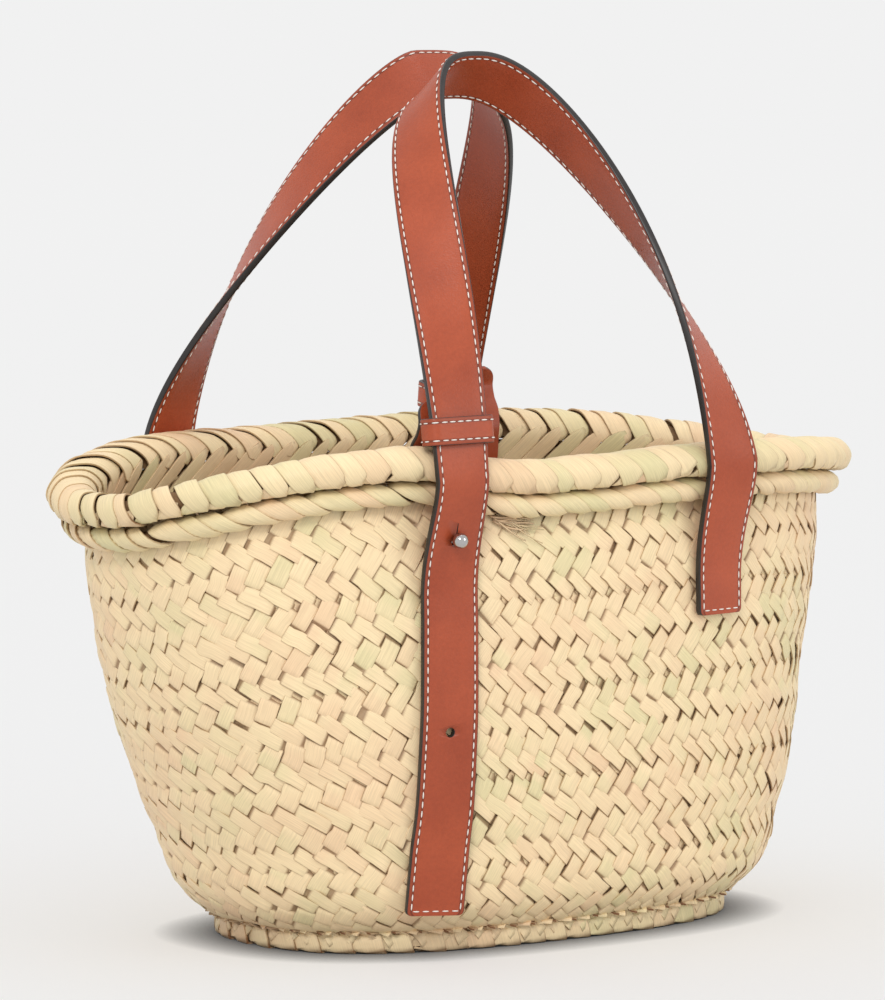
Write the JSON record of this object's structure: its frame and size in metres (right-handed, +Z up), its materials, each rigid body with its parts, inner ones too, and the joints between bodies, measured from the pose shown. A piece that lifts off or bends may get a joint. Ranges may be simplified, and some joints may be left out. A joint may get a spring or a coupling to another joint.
{
  "type": "straw basket bag",
  "caption": "Oval plaited straw basket bag with a wrapped rim and foot and leather strap handles held by keepers and ball studs.",
  "frame": {"origin": "middle of the foot ring's underside, on the surface that the bag stands on", "axes": "+Z up, +X along the basket's length, -Y towards the face whose long strap tail is at -X"},
  "size_m": [0.3686, 0.197, 0.3622],
  "materials": {
    "straw_plait": "plaited palm straw, matte with a slight sheen",
    "straw_wrap": "wrapped palm straw, matte with a slight sheen",
    "strap_leather": "smooth tan calf leather with dark painted edges and white stitching",
    "stud_metal": "polished"
  },
  "bodies": {
    "root": {"basket_shell": "straw_plait", "base_ring": "straw_wrap", "rim_cord": "straw_wrap", "rim_roll": "straw_wrap", "handle_front": "strap_leather", "keeper_front": "strap_leather", "tab_front": "strap_leather", "stud_front": "stud_metal", "handle_back": "strap_leather", "keeper_back": "strap_leather", "tab_back": "strap_leather", "stud_back": "stud_metal"}
  },
  "joints": []
}
